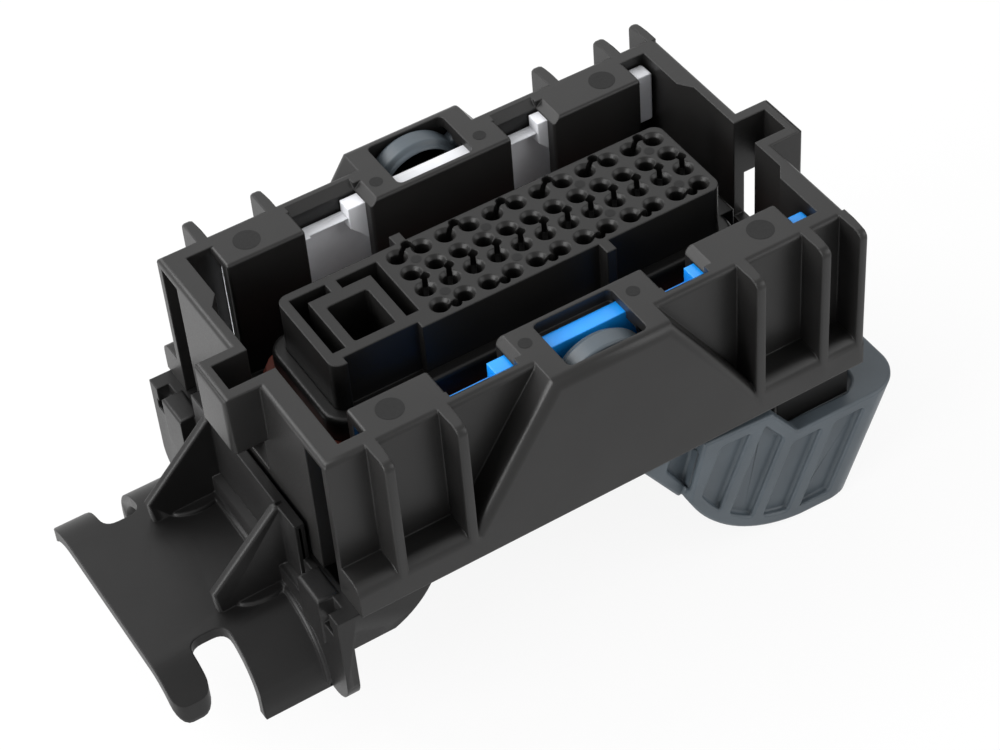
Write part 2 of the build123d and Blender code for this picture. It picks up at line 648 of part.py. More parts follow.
def make_cover_end():
    """End wall, gussets, latch blocks, flange plate and skirts at the wire exit."""
    rise = EXIT_Z - HOOD_WALL / 2
    end = block(END_X[0], END_X[1], -END_Y, END_Y, rise, END_TOP)
    outline = ((EXIT_END, rise), (EXIT_END, GUSSET_FOOT), (GUSSET_HEAD, END_TOP), (END_X[1], END_TOP))
    gusset = along_y(side_face((*outline, (END_X[1], rise))), GUSSET_Y - GUSSET_T / 2, GUSSET_Y + GUSSET_T / 2)
    latch = block(LATCH_X, END_X[1], LATCH_Y[0], LATCH_Y[1], EXIT_Z, LATCH_TOP)
    latch -= block(LATCH_X, END_X[1], LATCH_Y[0] + HOOD_WALL, LATCH_Y[1] - HOOD_WALL, -1.6, LATCH_TOP - HOOD_WALL)
    plate = block(FLANGE_X, HOOD_LEFT, -FLANGE_Y, FLANGE_Y, FLANGE_Z_RANGE[0], FLANGE_Z_RANGE[1])
    plate = fillet(plate.edges().filter_by(Axis.X).group_by(Axis.Z)[0], PLATE_R)
    y0 = FLANGE_Y - HOOD_WALL
    curve = ThreePointArc((SKIRT_END, -0.7), (SKIRT_END - 2.1, -3.0), (SKIRT_END - 4.0, -SKIRT_DEPTH))
    rest = Polyline((SKIRT_END - 4.0, -SKIRT_DEPTH), (FLANGE_X, -SKIRT_DEPTH), (FLANGE_X, 0), (SKIRT_END, 0))
    skirt_face = make_face([curve, rest, Line((SKIRT_END, 0), (SKIRT_END, -0.7))])
    skirt = along_y(Plane.XZ * skirt_face, y0, FLANGE_Y)
    ledge = block(HOOD_LEFT, SKIRT_END - 1, HOOD_Y - HOOD_WALL / 2, y0 + HOOD_WALL / 2, -HOOD_WALL, 0)
    key = block(LATCH_X - 0.3, END_X[1], y0 - 0.4, FLANGE_Y, -1.6, 0.8)
    return end + plate + both_sides(gusset + latch + skirt + ledge + key)


def make_wire_cover():
    """Wire cover: hood, arched wire exit and the end that latches to the housing."""
    cover = make_hood() + make_wire_exit() + make_cover_end()
    gate = hood_inside(FLANGE_X, HOOD_LEFT + HOOD_WALL)
    half = HOOD_Y
    gate &= block(FLANGE_X, HOOD_LEFT + HOOD_WALL, -half, half, -HOOD_DEPTH, EXIT_Z - HOOD_WALL)
    return cover - gate


def make_pieces():
    """Every piece by name, as modelled."""
    slider = make_slider()
    return {
        "outer_housing": make_outer_housing(),
        "terminal_tower": make_terminal_tower(),
        "secondary_lock": make_secondary_lock(),
        "ring_seal_retainer": make_seal_retainer(),
        "ring_seal": make_ring_seal(),
        "mat_seal": make_mat_seal(),
        "mat_seal_cover": make_mat_seal_cover(),
        "slider_rear": slider,
        "slider_front": mirror(slider, about=Plane.XZ),
        "lever": make_lever(),
        "wire_cover": make_wire_cover(),
    }


def main():
    """Builds the pieces, puts the origin at the middle of the base and writes them."""
    os.makedirs("parts", exist_ok=True)
    pieces = make_pieces()
    boxes = [piece.bounding_box() for piece in pieces.values()]
    x0 = min(box.min.X for box in boxes)
    x1 = max(box.max.X for box in boxes)
    z0 = min(box.min.Z for box in boxes)
    origin = Pos(-(x0 + x1) / 2, 0, -z0)
    for name, piece in pieces.items():
        export_step(origin * piece, f"parts/{name}.step")
    print("moved by", -(x0 + x1) / 2, -z0)


main()
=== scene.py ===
"""Looks of a sealed wire connector with a mate-assist lever: moulded plastics, seals, studio and camera."""

import math

import bmesh
import bpy
from mathutils import Matrix, Vector


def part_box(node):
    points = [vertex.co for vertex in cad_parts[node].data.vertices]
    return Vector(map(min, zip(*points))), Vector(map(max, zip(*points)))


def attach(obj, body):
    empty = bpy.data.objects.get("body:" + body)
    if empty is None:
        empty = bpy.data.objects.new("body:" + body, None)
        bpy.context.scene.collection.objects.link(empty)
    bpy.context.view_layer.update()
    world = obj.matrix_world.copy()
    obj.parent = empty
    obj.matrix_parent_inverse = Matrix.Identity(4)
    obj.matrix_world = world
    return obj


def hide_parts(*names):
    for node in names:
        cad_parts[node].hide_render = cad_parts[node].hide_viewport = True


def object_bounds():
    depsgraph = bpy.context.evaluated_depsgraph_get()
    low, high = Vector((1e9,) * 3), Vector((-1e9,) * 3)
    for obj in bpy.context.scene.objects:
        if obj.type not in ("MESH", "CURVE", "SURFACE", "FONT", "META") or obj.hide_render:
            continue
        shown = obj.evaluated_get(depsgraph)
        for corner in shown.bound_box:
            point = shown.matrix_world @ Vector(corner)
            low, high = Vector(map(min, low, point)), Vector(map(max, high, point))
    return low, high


bl_info = {
    "name": "Sealed connector",
    "version": (1, 0, 0),
    "blender": (4, 5, 0),
    "location": "3D View > Sidebar > Connector",
    "description": "Finishes a sealed wire connector with moulded plastics, seals and a studio",
    "category": "Object",
}

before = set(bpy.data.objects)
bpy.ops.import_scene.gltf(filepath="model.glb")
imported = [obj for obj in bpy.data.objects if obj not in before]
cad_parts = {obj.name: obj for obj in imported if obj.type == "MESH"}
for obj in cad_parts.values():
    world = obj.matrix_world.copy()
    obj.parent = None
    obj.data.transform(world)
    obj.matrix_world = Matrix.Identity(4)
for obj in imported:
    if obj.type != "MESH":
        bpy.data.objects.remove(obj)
CAD_LOW, CAD_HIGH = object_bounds()

MM = 0.001
HOUSING_LOW, HOUSING_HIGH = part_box("outer_housing")

# The camera stands at this place, given from the middle of the housing's lower edge
CAMERA_FROM_HOUSING = Vector((-86.81, -159.90, 182.62)) * MM
CAMERA_FORWARD = Vector((0.34110, 0.61651, -0.70963))
CAMERA_RIGHT = Vector((0.84514, -0.53164, -0.05564))
CAMERA_LENS = 97.65
CAMERA_SHIFT = (-0.0279, -0.0071)
CAMERA_NEAR = 0.01

# Floor and lamps, in metres, with the lamps' places from the middle of the whole part
FLOOR_HALF = 2.0
FLOOR_DROP = 0.0001
FLOOR_SHADE = 0.85
FLOOR_ROUGHNESS = 0.9
LAMP_SIZE = 0.35
LAMPS = {
    "left": (-0.25, 0.30, 0.35),
    "front": (0.35, -0.30, 0.20),
    "end": (-0.45, -0.05, 0.12),
    "right": (0.20, 0.36, 0.40),
}

# Share of white that the floor adds by itself where it is seen or mirrored
FLOOR_GLOW = 0.9

# Roughness and specular level of each material
HOUSING_GLOSS = (0.36, 0.3)
TOWER_GLOSS = (0.34, 0.25)
COVER_GLOSS = (0.38, 0.22)
LEVER_GLOSS = (0.42, 0.35)
SLIDER_GLOSS = (0.35, 0.5)
RING_SEAL_GLOSS = (0.5, 0.5)
MAT_SEAL_GLOSS = (0.55, 0.5)
MARK_GLOSS = (0.7, 0.25)

# How far colour and roughness wander, and the noise behind them
MOTTLING = 0.12
ROUGHNESS_SPREAD = 0.2
GRAIN_DETAIL = 3
PATCH_SIZE = 6 * MM
PATCH_DETAIL = 4
PATCH_RANGE = (0.3, 0.7)

# Grain size, grain depth and edge radius of the ejector marks
MARK_FINISH = (0.2 * MM, 0.01 * MM, 0.05 * MM)

# Edges that are sharper than the first keep a crease, and those flatter than the second are dissolved
SHARP_ANGLE = math.radians(40)
FLAT_ANGLE = math.radians(0.5)

# Millimetres within which a CAD mesh's corners are merged
SAME_VERT = 0.001

# Millimetres within which two places are one, and by which a cut runs past the face that it opens
NEAR = 1e-4
OVER = 1.0

# Most of a side that the rounding of one of its corners may take
UNDER_HALF = 1 / 2.01

# Housing, in millimetres from the middle of its lower edge, as every size down to the wire cover
HALF_L = 27.2
HOUSING_H = 16.7
WALL_Y = 15.8
INNER_Y = 14.1
WALL = 1.2
ROOF_T = 0.9
RIM_R = 0.55
EDGE_R = 0.35
END_WALL = 2.2
RELIEF = ((25.0, -8.4), (26.0, -7.0), (26.0, 7.0), (25.0, 8.4))
FIN_Y = 18.9
FIN_T = 1.1
FIN_X = (15.5, 22.65)
FIN_R = 0.8
FIN_EDGE_R = 0.28
END_FIN_T = 0.9
STRIP_H = 3.6
STRIP_R = 1.3
BLOCK_Y = 10.85
CHANNEL_Y = BLOCK_Y + WALL
POCKET_Y = FIN_Y - WALL
BLOCK_SPANS = ((-22.5, -14.35), (-7.5, 7.9), (12.55, 22.5))
BULGE_TOP = 6.2
BULGE_FOOT = 15.0
BULGE_R = 1.1
LEAD_IN = 0.8
WINDOW_X = (-4.05, 4.15)
WINDOW_Y = 11.5
WINDOW_H = 1.4
FLOOR_Z = 1.2
FLOOR_TOP = 2.6
BUMP_OUT = 3.55
BUMP_Y = (-4.2, 1.6)
BUMP_Z = 10.0
BUMP_SLOT_Z = 5.0
BUMP_R = 0.5
EXIT_SLOT_Y = (11.9, 15.0)
SINK = 0.3

# Tower's foot, collar and ring seal
TOWER_L = 41.3
TOWER_W = 10.8
TOWER_CORNER = 1.1
RETAINER_OUT = 1.35
RETAINER_TOP = 10.3
RETAINER_RIM = 0.5
COLLAR_H = 2.2
LUG_Y = 3.6
SEAL_OUT = 1.3
SEAL_LIP = 0.4
SEAL_H = 5.0
SEAL_RIBS = 2

# Sliders
SLIDE_GAP = 0.2
SLIDER_TOP = HOUSING_H - ROOF_T - SLIDE_GAP
SLIDER_X = (-22.0, 24.8)
SLIDER_Y = (CHANNEL_Y + SLIDE_GAP, INNER_Y - SLIDE_GAP)
TRACK_DEPTH = 1.2
TRACK_FOOT = 3.6
BAR_SETBACK = 0.3
BAR_SLOPE = 1.35
BAR_DROP = 1.3
TRACKS = ((-14.55, -12.4, -9.2), (7.7, 9.2, 11.6))
POST_DROP = (2.4, 3.3)
POST_TIP = 0.9
RAMP = (1.7, 2.2)
RAMP_RUN = 2.6
HEAD_X = 22.3
HEAD_H = 5.6
PIVOT_Z = 11.8
HUB_R = 4.9
STUB_R = 2.0
STUB_FROM_WALL = 1.1
PIN_SLOT = ((0.4, 3.4), (6.9, 10.5))

# Marks that the mould's ejectors leave, as places and radii
HOUSING_MARKS = ((-19.3, 13.05, 1.3), (19.45, 13.05, 1.3), (-5.64, 13.04, 0.65), (5.64, 13.04, 0.65))
TOWER_TOP = 15.85
TOWER_MARKS = ((17.88, 2.61), (10.08, 2.49), (17.52, -2.87), (10.14, -2.48), (0.05, -2.52), (-7.55, 2.6),
               (-0.13, 2.55), (-7.56, -2.54))
TOWER_MARK_R = 0.5
MARK_RISE = 0.02
MARK_SIDES = 32
MARK_COLOUR = (0.010, 0.010, 0.010)

# Lever
LEVER_ROUNDING = 0.25
ARM_FACE_Y = 17.45
GRIP_DEPTH = 0.7
ARM_POCKET = ((5.9, -3.2), (7.9, -6.4), (9.2, -2.0), (6.5, -1.6))

# Wire cover. The exit laps into the flange, and its cut takes a thin skin off the flange's face
EXIT_Z = -5.1
EXIT_END = -36.2
END_X = (-28.6, -27.6)
END_Y = 10.0
END_TOP = 4.5
END_EDGE_R = 0.4
GUSSET_Y = 6.6
GUSSET_T = 1.0
GUSSET_FOOT = -2.6
GUSSET_HEAD = -29.0
GUSSET_EDGE_R = 0.32
PAD_X = (-34.4, -28.4)
PAD_T = 1.7
PAD_H = 0.35
PAD_EDGE = 0.7
PAD_STEPS = 12
EXIT_FLAT = 8.2
EXIT_R = 6.4
EXIT_STEPS = 16
EXIT_LAP = 0.2
EXIT_SKIN = 0.02
HOOD_WALL = 1.2
HOOD_DEPTH = 12.5
TONGUE_END = -43.8
TONGUE_HEAD = 3.8
TONGUE_Y = 13.1
TONGUE_R = 1.4
NOTCH_Y = 8.35
FLANGE_X = -29.5
COLLAR_W = 0.45
COLLAR_LIFT = 1.0
EXIT_PLATE_X = -32.6
LATCH = (-29.7, -27.5, 11.4, 15.3, -5.4, 0.2)
LATCH_CUT = (-31.0, -27.0, 11.0, 15.9, 0.1, 3.0)
KEY_CUT = (-31.0, -27.0, 16.0, 19.0, 0.0, 3.0)


def housing_middle():
    """Middle of the housing's lower edge in the frame."""
    return Vector(((HOUSING_LOW.x + HOUSING_HIGH.x) / 2, 0, HOUSING_LOW.z))


def prism(outline, axis, low, high):
    """Closed shape: an outline across an axis, run along it from low to high."""
    shape = bmesh.new()
    order = {"X": (2, 0, 1), "Y": (0, 2, 1), "Z": (0, 1, 2)}[axis]
    rings = []
    for level in (low, high):
        corners = [(a, b, level) for a, b in outline]
        rings.append([shape.verts.new([corner[i] for i in order]) for corner in corners])
    count = len(outline)
    shape.faces.new(rings[0])
    shape.faces.new(rings[1])
    for number in range(count):
        after = (number + 1) % count
        shape.faces.new((rings[0][number], rings[0][after], rings[1][after], rings[1][number]))
    bmesh.ops.recalc_face_normals(shape, faces=shape.faces)
    return shape


def cuboid(x0, x1, y0, y1, z0, z1):
    """Plain block between two corners."""
    return prism(((x0, y0), (x1, y0), (x1, y1), (x0, y1)), "Z", z0, z1)


def soften(shape, radius, pick, segments=3):
    """Rounds the edges that pick accepts by their two ends."""
    edges = [edge for edge in shape.edges if pick(edge.verts[0].co, edge.verts[1].co)]
    bmesh.ops.bevel(shape, geom=edges, offset=radius, segments=segments, profile=0.5, affect="EDGES",
                    clamp_overlap=True)
    return shape


def at(axis, value):
    """Accepts edges that lie at one value of an axis, 0 to 2."""
    return lambda a, b: abs(a[axis] - value) < NEAR and abs(b[axis] - value) < NEAR


def arc(x, y, radius, start, end, steps):
    """Points from one angle to another, in degrees, round a centre."""
    turns = [math.radians(start + (end - start) * step / steps) for step in range(steps + 1)]
    return [(x + radius * math.cos(turn), y + radius * math.sin(turn)) for turn in turns]


def axis_circle(radius, steps=48):
    """Outline of a circle round the lever's axis."""
    return arc(0, PIVOT_Z, radius, 0, 360, steps)[:-1]


def rounded(outline, radius, steps=6):
    """An outline whose corners are rounded by this much, or by less where a side is short."""
    points = []
    for number, corner in enumerate(outline):
        corner = Vector(corner)
        ends = []
        for other in (outline[number - 1], outline[(number + 1) % len(outline)]):
            run = Vector(other) - corner
            ends.append(corner + run.normalized() * min(radius, run.length * UNDER_HALF))
        for step in range(steps + 1):
            share = step / steps
            points.append(ends[0].lerp(corner, share).lerp(corner.lerp(ends[1], share), share)[:])
    return points


def slab(length, width, radius, z0, z1, x=0.0, y=0.0, steps=5):
    """Rounded rectangle standing from z0 to z1."""
    outline = []
    for quarter, (sx, sy) in enumerate(((1, 1), (-1, 1), (-1, -1), (1, -1))):
        centre = (x + sx * (length / 2 - radius), y + sy * (width / 2 - radius))
        outline.extend(arc(*centre, radius, 90 * quarter, 90 * quarter + 90, steps))
    return prism(outline, "Z", z0, z1)


def mirrored(shape):
    """The same shape on the other side of the middle plane."""
    other = shape.copy()
    for vert in other.verts:
        vert.co.y = -vert.co.y
    bmesh.ops.reverse_faces(other, faces=other.faces)
    return other


def turned_end(shape):
    """The same shape at the other end of the housing."""
    other = shape.copy()
    for vert in other.verts:
        vert.co.x = -vert.co.x
    bmesh.ops.reverse_faces(other, faces=other.faces)
    return other


def both_sides(*shapes):
    """Shapes with their mirror images."""
    return [part for shape in shapes for part in (shape, mirrored(shape))]


def shape_object(name, shape):
    """A bmesh as an object."""
    mesh = bpy.data.meshes.new(name)
    shape.to_mesh(mesh)
    return bpy.data.objects.new(name, mesh)


def carved(name, start, *steps):
    """Mesh of a shape that each step's operands are joined to or cut from, in millimetres."""
    body = shape_object(name, start)
    bpy.context.scene.collection.objects.link(body)
    helpers = []
    for operation, operands in steps:
        group = bpy.data.collections.new(name)
        for operand in operands:
            helper = shape_object(name, operand)
            group.objects.link(helper)
            helpers.append(helper)
        change = body.modifiers.new(operation, "BOOLEAN")
        change.operation = operation
        change.operand_type = "COLLECTION"
        change.collection = group
        change.solver = "EXACT"
    graph = bpy.context.evaluated_depsgraph_get()
    mesh = bpy.data.meshes.new_from_object(body.evaluated_get(graph))
    for helper in (body, *helpers):
        bpy.data.objects.remove(helper)
    return mesh


def as_shape(mesh):
    """A copy of a mesh as a shape for a further step."""
    shape = bmesh.new()
    shape.from_mesh(mesh)
    return shape


def combine(name, start, *steps):
    """The same as carved, put in its place in frame metres."""
    mesh = carved(name, start, *steps)
    mesh.transform(Matrix.Translation(housing_middle()) @ Matrix.Scale(MM, 4))
    return mesh


def node_shape(node):
    """A copy of a CAD node's mesh, merged into whole faces and in the housing's millimetres."""
    shape = as_shape(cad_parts[node].data)
    into_mm = Matrix.Scale(1 / MM, 4) @ Matrix.Translation(-housing_middle())
    bmesh.ops.transform(shape, matrix=into_mm, verts=shape.verts)
    bmesh.ops.remove_doubles(shape, verts=shape.verts, dist=SAME_VERT)
    bmesh.ops.dissolve_limit(shape, angle_limit=FLAT_ANGLE, verts=shape.verts, edges=shape.edges)
    return shape


def stand_in(node, body, mesh, material, rounding=0.0):
    """Puts a finished mesh in a node's place, with its edges rounded where a radius is given."""
    mesh.name = node + "_piece"
    mesh.materials.clear()
    mesh.materials.append(material)
    for face in mesh.polygons:
        face.material_index = 0
        face.use_smooth = True
    mesh.set_sharp_from_angle(angle=SHARP_ANGLE)
    piece = bpy.data.objects.new(node + "_piece", mesh)
    bpy.context.scene.collection.objects.link(piece)
    if rounding:
        bevel = piece.modifiers.new("rounding", "BEVEL")
        bevel.width = rounding
        bevel.segments = 2
        bevel.limit_method = "ANGLE"
        bevel.angle_limit = SHARP_ANGLE
        bevel.use_clamp_overlap = False
        bevel.miter_outer = "MITER_ARC"
    shading = piece.modifiers.new("shading", "WEIGHTED_NORMAL")
    shading.keep_sharp = True
    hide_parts(node)
    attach(piece, body)


def bulge_outline(shrink, z0, z1):
    """The trapezium over the lever's hub, drawn in by shrink on its slanted sides."""
    slope = (BULGE_FOOT - BULGE_TOP) / (HOUSING_H - STRIP_H)
    inset = shrink * math.hypot(1, slope)
    low = BULGE_TOP + (HOUSING_H - z0) * slope - inset
    high = BULGE_TOP + (HOUSING_H - z1) * slope - inset
    return ((-low, z0), (low, z0), (high, z1), (-high, z1))


def housing_fin(x0, x1):
    """Upright fin with rounded outer edges, rooted in the long wall."""
    corner = arc(FIN_Y - FIN_R, HOUSING_H - FIN_R, FIN_R, 0, 90, 4)
    outline = ((WALL_Y - RIM_R, 0), (FIN_Y, 0), *corner, (WALL_Y - RIM_R, HOUSING_H))

    def outer_edge(a, b):
        return min(a.y, b.y) > WALL_Y and abs(a.x - b.x) < NEAR and max(a.z, b.z) > 0

    return soften(prism(outline, "X", x0, x1), FIN_EDGE_R, outer_edge, 2)


def block_front(a, b):
    """Accepts the edges of a block that face the well, and those on top that lie inside the long wall."""
    facing = at(1, BLOCK_Y)(a, b) and max(a.z, b.z) > FLOOR_TOP
    return facing or at(2, HOUSING_H)(a, b) and min(a.y, b.y) < INNER_Y


def housing_side():
    """Fins, bottom strip, bulge and blocks on the +Y side."""
    strip = cuboid(-HALF_L, HALF_L, WALL_Y - SINK, FIN_Y, 0, STRIP_H)
    soften(strip, STRIP_R, lambda a, b: at(1, FIN_Y)(a, b) and at(2, STRIP_H)(a, b), 5)
    fins = [housing_fin(sign * x - FIN_T / 2, sign * x + FIN_T / 2) for x in FIN_X for sign in (-1, 1)]
    fins.append(housing_fin(HALF_L - END_FIN_T, HALF_L))
    bulge = prism(bulge_outline(0, 0, HOUSING_H), "Y", WALL_Y - RIM_R, FIN_Y)
    soften(bulge, BULGE_R, lambda a, b: at(1, FIN_Y)(a, b) and max(a.z, b.z) > 0, 5)
    foot = FLOOR_TOP - SINK
    ceiling = HOUSING_H - ROOF_T
    root = INNER_Y + SINK
    outline = ((BLOCK_Y, foot), (CHANNEL_Y, foot), (CHANNEL_Y, ceiling), (root, ceiling), (root, HOUSING_H),
               (BLOCK_Y, HOUSING_H))
    blocks = [soften(prism(outline, "X", *span), EDGE_R, block_front) for span in BLOCK_SPANS]
    return [strip, *fins, bulge, *blocks]


def lead_in(edge):
    """Outline that slants the top of a wall whose edge stands at this place."""
    past = HOUSING_H + OVER
    return ((edge - OVER, past), (edge + LEAD_IN + OVER, past), (edge - OVER, HOUSING_H - LEAD_IN - OVER))


def housing_cuts():
    """Openings on the +Y side: window, hub room, pockets under the bays, lead-ins and the slider's exit."""
    left, right = WINDOW_X
    low = HOUSING_H - WINDOW_H
    across = (WINDOW_Y + POCKET_Y) / 2
    cuts = [slab(right - left, POCKET_Y - WINDOW_Y, RIM_R, low, HOUSING_H + OVER, (left + right) / 2, across)]
    cuts.append(prism(axis_circle(HUB_R + 2 * SLIDE_GAP), "Y", INNER_Y - SINK, WALL_Y + SINK))
    cuts.append(cuboid(left, right, INNER_Y - SINK, WALL_Y + SINK, PIVOT_Z, low + SINK))
    cuts.append(cuboid(left, right, CHANNEL_Y, INNER_Y, low - SINK, low + RIM_R))
    cuts.append(prism(bulge_outline(WALL, -OVER, HOUSING_H - WALL), "Y", WALL_Y, POCKET_Y))
    outer = FIN_X[0] + FIN_T / 2 + 2 * WALL
    for sign in (-1, 1):
        ends = sorted((sign * outer, sign * (HALF_L - WALL)))
        cuts.append(cuboid(*ends, WALL_Y, POCKET_Y, -OVER, STRIP_H - WALL))
    inner = -HALF_L + END_WALL + SINK
    cuts.append(cuboid(-HALF_L - OVER, inner, *EXIT_SLOT_Y, -OVER, SLIDER_TOP + SLIDE_GAP))
    for before, after in zip(BLOCK_SPANS, BLOCK_SPANS[1:]):
        start, end = before[1], after[0]
        cuts.append(prism(lead_in(INNER_Y), "X", start, end))
        cuts.append(prism(lead_in(end), "Y", BLOCK_Y - OVER, INNER_Y))
    return cuts


def housing_mesh():
    """Outer housing with its blocks, fins, bulges, windows and end keys."""
    shell = soften(cuboid(-HALF_L, HALF_L, -WALL_Y, WALL_Y, 0, HOUSING_H), RIM_R, at(2, HOUSING_H))
    inner = HALF_L - END_WALL
    past = HOUSING_H + OVER
    back = inner - OVER
    relief = ((back, RELIEF[0][1]), *RELIEF, (back, RELIEF[-1][1]))
    half_relief = ((-back, 0), (-RELIEF[2][0], 0), *[(-x, y) for x, y in relief[3:]])
    room = [
        cuboid(-inner, inner, -INNER_Y, INNER_Y, FLOOR_TOP, past),
        cuboid(-inner, inner, -INNER_Y, INNER_Y, -OVER, FLOOR_Z),
        slab(TOWER_L + 2 * SLIDE_GAP, TOWER_W + 2 * SLIDE_GAP, TOWER_CORNER, 0, FLOOR_TOP + OVER),
        prism(relief, "Z", FLOOR_TOP, past),
        prism(half_relief, "Z", FLOOR_TOP, past),
    ]
    y0, y1 = BUMP_Y
    bump = cuboid(HALF_L - WALL, HALF_L + BUMP_OUT, y0, y1, BUMP_Z, HOUSING_H)
    soften(bump, BUMP_R, at(0, HALF_L + BUMP_OUT))
    soften(bump, EDGE_R, lambda a, b: at(2, HOUSING_H)(a, b) and max(a.x, b.x) > HALF_L)
    slot = cuboid(HALF_L - 2 * END_WALL, HALF_L + BUMP_OUT - WALL, y0 + WALL, y1 - WALL, BUMP_SLOT_Z, past)
    stub = prism(axis_circle(STUB_R), "Y", INNER_Y + STUB_FROM_WALL, POCKET_Y + SINK)
    return combine(
        "housing", shell,
        ("DIFFERENCE", room),
        ("UNION", [*both_sides(*housing_side()), bump, turned_end(bump)]),
        ("DIFFERENCE", [*both_sides(*housing_cuts()), slot, turned_end(slot)]),
        ("UNION", both_sides(stub)),
    )


def slider_cuts():
    """Cam tracks, set-back top bars, head and pin slot of the slider on the +Y side."""
    y0, y1 = SLIDER_Y
    through = (y0 - OVER, y1 + OVER)
    foot = FLOOR_TOP + SLIDE_GAP
    cuts = [cuboid(HEAD_X, SLIDER_X[1] + OVER, *through, foot - OVER, SLIDER_TOP - HEAD_H)]
    pin_x, pin_z = PIN_SLOT
    cuts.append(cuboid(*pin_x, *through, *pin_z))
    under = SLIDER_TOP - BAR_SLOPE
    past = SLIDER_TOP + OVER
    setback = y0 + BAR_SETBACK
    bevel = ((setback, under), (setback + BAR_SLOPE + OVER, past), (through[0], past), (through[0], under))
    for left, bar, post in TRACKS:
        tip = (post + POST_TIP, SLIDER_TOP - POST_DROP[1])
        ramp = (tip[0] + RAMP[0], tip[1] - RAMP[1])
        low = (ramp[0] + RAMP_RUN, ramp[1] - RAMP_RUN)
        outline = ((left, TRACK_FOOT), (left, under), (post, under), (post, SLIDER_TOP - POST_DROP[0]), tip,
                   ramp, low, (low[0], TRACK_FOOT))
        cuts.append(prism(outline, "Y", through[0], y0 + TRACK_DEPTH))
        cuts.append(prism(bevel, "X", bar - POST_TIP, post))
        cuts.append(cuboid(left, post, *through, SLIDER_TOP - BAR_DROP, past))
    return cuts


def slider_mesh(side):
    """Cam slider on one side, 1 for the rear and -1 for the front."""
    body = cuboid(*SLIDER_X, *SLIDER_Y, FLOOR_TOP + SLIDE_GAP, SLIDER_TOP)
    soften(body, 2 * SLIDE_GAP, lambda a, b: at(0, SLIDER_X[0])(a, b) or at(0, SLIDER_X[1])(a, b))
    cuts = slider_cuts()
    if side < 0:
        body = mirrored(body)
        cuts = [mirrored(cut) for cut in cuts]
    return combine("slider", body, ("DIFFERENCE", cuts))


def collar_mesh():
    """Collar round the tower that holds the ring seal down."""
    out = 2 * RETAINER_OUT
    low = FLOOR_TOP + SEAL_H + SLIDE_GAP
    collar = slab(TOWER_L + out, TOWER_W + out, TOWER_CORNER + RETAINER_OUT, low, RETAINER_TOP)
    soften(collar, RETAINER_RIM, at(2, RETAINER_TOP))
    reach = TOWER_L / 2 + RETAINER_OUT + SEAL_OUT
    lug = cuboid(TOWER_L / 2, reach, -LUG_Y, LUG_Y, RETAINER_TOP - COLLAR_H, RETAINER_TOP)
    soften(lug, EDGE_R, at(0, reach))
    neck = out - 2 * RETAINER_RIM
    foot = slab(TOWER_L + neck, TOWER_W + neck, TOWER_CORNER + neck / 2, FLOOR_TOP, low + SINK)
    tower = slab(TOWER_L, TOWER_W, TOWER_CORNER, 0, HOUSING_H)
    return combine("collar", collar, ("UNION", [lug, foot]), ("DIFFERENCE", [tower]))


def seal_mesh():
    """Ring seal with rounded sealing lips, round the collar's neck."""
    neck = RETAINER_OUT - RETAINER_RIM
    length, width, corner = TOWER_L + 2 * neck, TOWER_W + 2 * neck, TOWER_CORNER + neck
    full = SEAL_OUT + RETAINER_RIM
    body = full - SEAL_LIP
    ring = slab(length + 2 * body, width + 2 * body, corner + body, FLOOR_TOP, FLOOR_TOP + SEAL_H)
    lips = []
    step = SEAL_H / SEAL_RIBS
    for number in range(SEAL_RIBS):
        z0 = FLOOR_TOP + (number + 1 / 4) * step
        lip = slab(length + 2 * full, width + 2 * full, corner + full, z0, z0 + step / 2)
        lips.append(soften(lip, SEAL_LIP, lambda a, b: abs(a.z - b.z) < NEAR))
    inside = slab(length, width, corner, 0, HOUSING_H)
    return combine("seal", ring, ("UNION", lips), ("DIFFERENCE", [inside]))


def cover_gusset(y):
    """Rounded gusset on the arch at this y, with the low lens-shaped pad along its foot on the -Y side."""
    foot = EXIT_Z - SINK
    root = END_X[1] - SINK
    outline = ((EXIT_END + SINK, foot), (EXIT_END, GUSSET_FOOT), (GUSSET_HEAD, END_TOP), (root, END_TOP),
               (root, foot))

    def free_edge(a, b):
        return abs(a.y - b.y) < NEAR and max(a.z, b.z) > EXIT_Z and min(a.x, b.x) < END_X[0]

    gusset = soften(prism(outline, "Y", y - GUSSET_T / 2, y + GUSSET_T / 2), GUSSET_EDGE_R, free_edge)
    middle, half = sum(PAD_X) / 2, (PAD_X[1] - PAD_X[0]) / 2
    turns = [math.pi * step / PAD_STEPS for step in range(PAD_STEPS + 1)]
    bow = [(middle + half * math.cos(turn), y - PAD_T * math.sin(turn)) for turn in turns]
    pad = soften(prism(bow, "Z", foot, EXIT_Z + PAD_H), PAD_H * PAD_EDGE, at(2, EXIT_Z + PAD_H), 2)
    return [gusset, pad]


def exit_outline(grow, drop):
    """YZ outline of the wire exit's arch, drawn out by grow, with its feet at drop."""
    radius = EXIT_R + grow
    half = EXIT_FLAT + radius
    centre = EXIT_Z - EXIT_R
    left = arc(-EXIT_FLAT, centre, radius, 180, 90, EXIT_STEPS)
    right = arc(EXIT_FLAT, centre, radius, 90, 0, EXIT_STEPS)
    return ((-half, -drop), *left, *right, (half, -drop))


